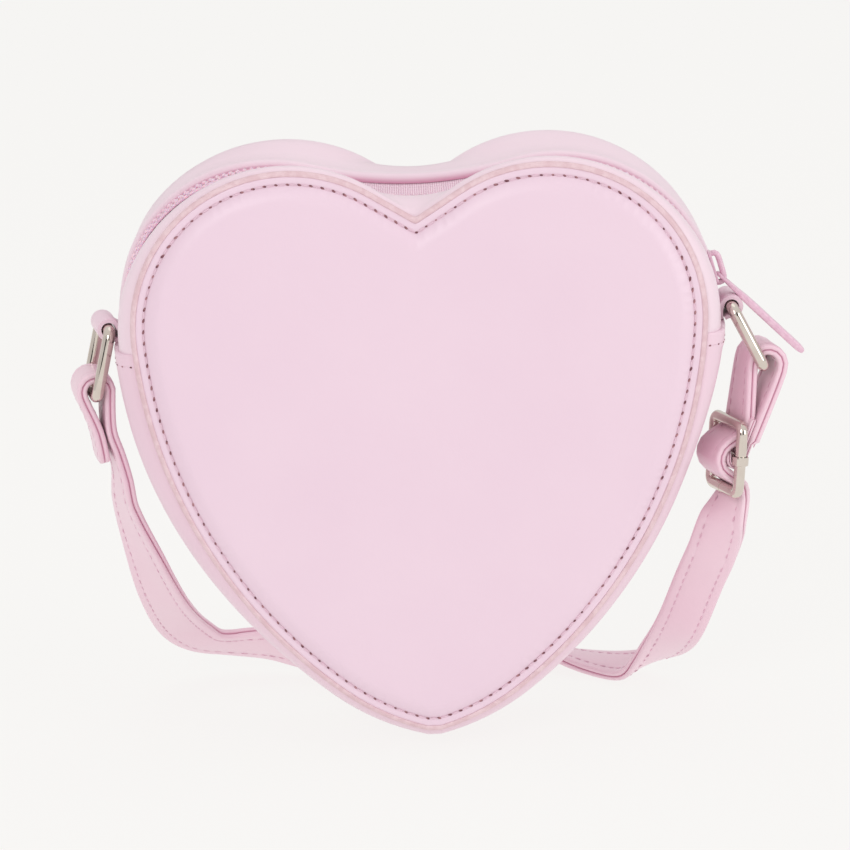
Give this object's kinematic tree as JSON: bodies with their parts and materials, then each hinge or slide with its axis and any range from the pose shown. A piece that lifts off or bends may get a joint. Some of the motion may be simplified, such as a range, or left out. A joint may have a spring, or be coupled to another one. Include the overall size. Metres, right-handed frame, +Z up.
{
  "type": "crossbody bag",
  "caption": "Heart-shaped crossbody bag with padded panels, a zip round the top, and a narrow strap that a sliding buckle adjusts.",
  "frame": {"origin": "the lowest point, on the small flat under the tip of the heart, halfway through the depth", "axes": "+Z up, the front panel faces -Y, +X is the viewer's right where the slider and buckle are"},
  "size_m": [0.2339, 0.1255, 0.1889],
  "materials": {
    "leather": "smooth satin synthetic leather, pastel pink",
    "strap_leather": "smooth satin synthetic leather, turned edges",
    "lining": "plain woven lining",
    "foam": "soft foam sheet",
    "stiffener": "thin stiff board",
    "zip_tape": "woven zip tape",
    "zip_coil": "nylon coil",
    "painted_metal": "pink enamel paint",
    "ring_metal": "polished nickel plate"
  },
  "bodies": {
    "bag": {"front_panel": "leather", "front_foam": "foam", "front_stiffener": "stiffener", "front_lining": "lining", "zip_strip_front": "leather", "zip_strip_lining_front": "lining", "zip_tape_front": "zip_tape", "zip_coil_front": "zip_coil", "back_panel": "leather", "back_foam": "foam", "back_stiffener": "stiffener", "back_lining": "lining", "zip_strip_back": "leather", "zip_strip_lining_back": "lining", "zip_tape_back": "zip_tape", "zip_coil_back": "zip_coil", "bottom_gusset": "leather", "bottom_gusset_lining": "lining", "zip_stop_left": "painted_metal", "zip_stop_right": "painted_metal", "left_tab": "leather", "right_tab": "leather", "strap_long_face": "strap_leather", "strap_long_backing": "strap_leather"},
    "zip_slider": {"zip_slider": "painted_metal"},
    "zip_pull": {"zip_pull": "painted_metal"},
    "left_ring": {"left_ring": "ring_metal", "strap_left_loop_face": "strap_leather", "strap_left_loop_backing": "strap_leather"},
    "right_ring": {"right_ring": "ring_metal", "strap_right_loop_face": "strap_leather", "strap_right_loop_backing": "strap_leather"},
    "buckle": {"buckle_frame": "ring_metal"},
    "buckle_bar": {"buckle_bar": "ring_metal"}
  },
  "joints": [
    {"name": "zip_slide", "type": "hinge", "parent": "bag", "child": "zip_slider", "pos_m": [0.044, 0, 0.13493], "axis": [0, -1, 0], "range_deg": [0, 82]},
    {"name": "pull_swing", "type": "hinge", "parent": "zip_slider", "child": "zip_pull", "pos_m": [0.09523, -0.004, 0.14544], "axis": [0, -1, 0], "range_deg": [0, 110]},
    {"name": "left_ring_swing", "type": "hinge", "parent": "bag", "child": "left_ring", "pos_m": [-0.099, 0, 0.13603], "axis": [-0.1908, 0.9816, 0], "range_deg": [-5, 45], "deforming": ["strap_long_face", "strap_long_backing"]},
    {"name": "right_ring_swing", "type": "hinge", "parent": "bag", "child": "right_ring", "pos_m": [0.0979, 0, 0.13603], "axis": [0.0523, -0.9986, 0], "range_deg": [0, 22], "deforming": ["strap_long_face", "strap_long_backing"]},
    {"name": "buckle_slide", "type": "slide", "parent": "right_ring", "child": "buckle", "axis": [0.096, 0.0368, 0.9947], "range_m": [-0.008, 0.004], "deforming": ["strap_right_loop_face", "strap_right_loop_backing", "strap_long_face", "strap_long_backing"]},
    {"name": "buckle_bar_slide", "type": "slide", "parent": "buckle", "child": "buckle_bar", "axis": [0.096, 0.0368, 0.9947], "range_m": [-0.0015, 0.0015], "deforming": ["strap_right_loop_face", "strap_right_loop_backing"]}
  ]
}
